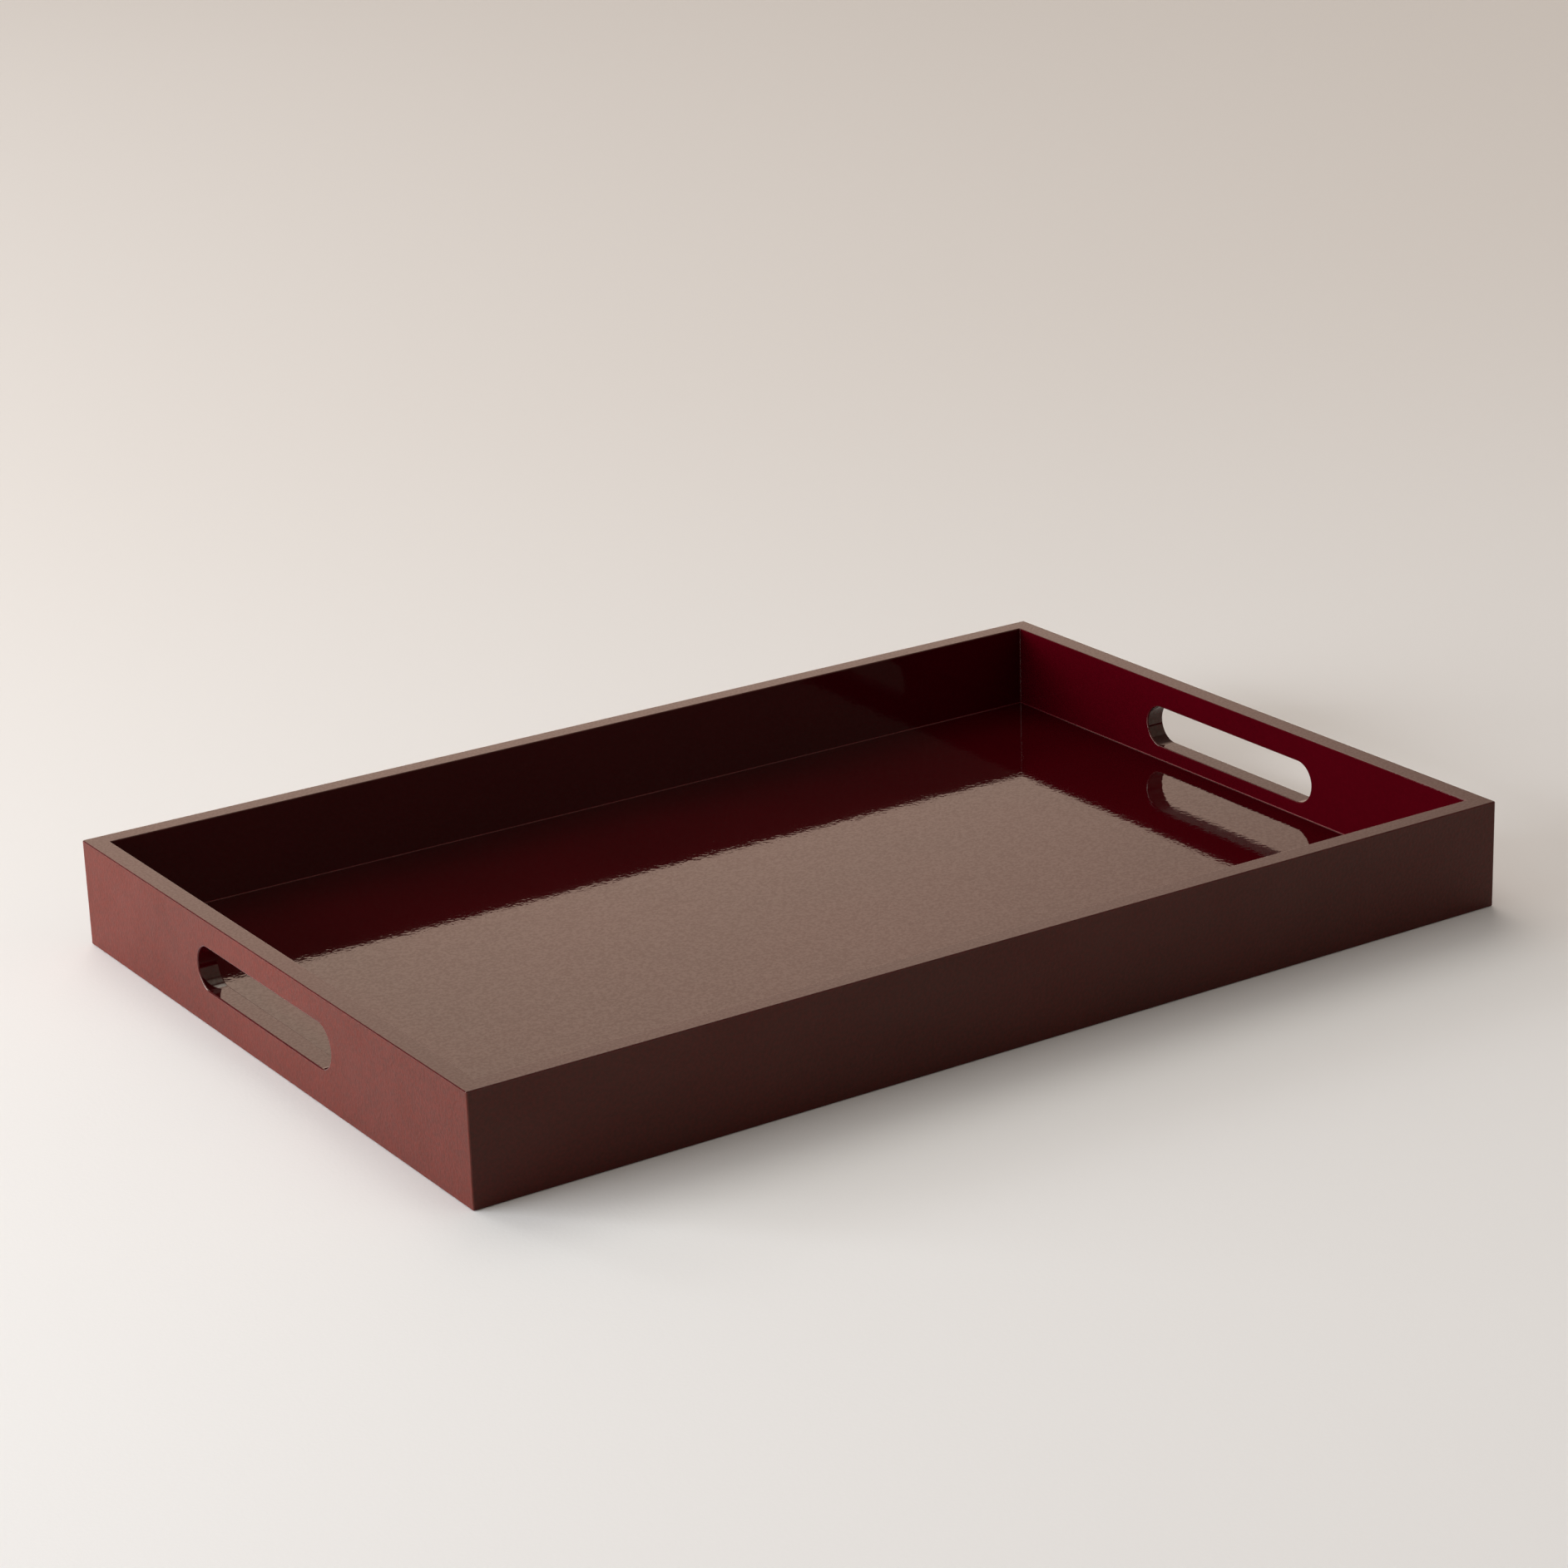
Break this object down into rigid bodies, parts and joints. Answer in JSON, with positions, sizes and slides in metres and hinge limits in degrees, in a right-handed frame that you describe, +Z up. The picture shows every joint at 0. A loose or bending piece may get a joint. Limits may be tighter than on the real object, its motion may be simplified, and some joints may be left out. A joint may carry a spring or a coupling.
{
  "type": "lacquer serving tray",
  "caption": "Low rectangular serving tray of lacquered board, mitred side rails round a recessed base panel, a finger slot through each short end.",
  "frame": {"origin": "middle of the footprint, on the surface the tray stands on", "axes": "+X along the length towards the right end, +Y towards the rear rail, +Z up; the front rail is at -Y"},
  "size_m": [0.5, 0.335, 0.0475],
  "materials": {
    "rail_lacquer": "oxblood lacquer over fibreboard, sprayed gloss with a fine orange peel",
    "floor_lacquer": "oxblood lacquer over fibreboard, near-mirror gloss",
    "lining_felt": "short-pile felt, matt",
    "key_wood": "bare beech, hidden in the joint"
  },
  "bodies": {
    "root": {"front_rail": "rail_lacquer", "rear_rail": "rail_lacquer", "left_end_rail": "rail_lacquer", "right_end_rail": "rail_lacquer", "base_panel": "floor_lacquer", "felt_lining": "lining_felt", "front_left_mitre_key": "key_wood", "front_right_mitre_key": "key_wood", "rear_left_mitre_key": "key_wood", "rear_right_mitre_key": "key_wood"}
  },
  "joints": []
}
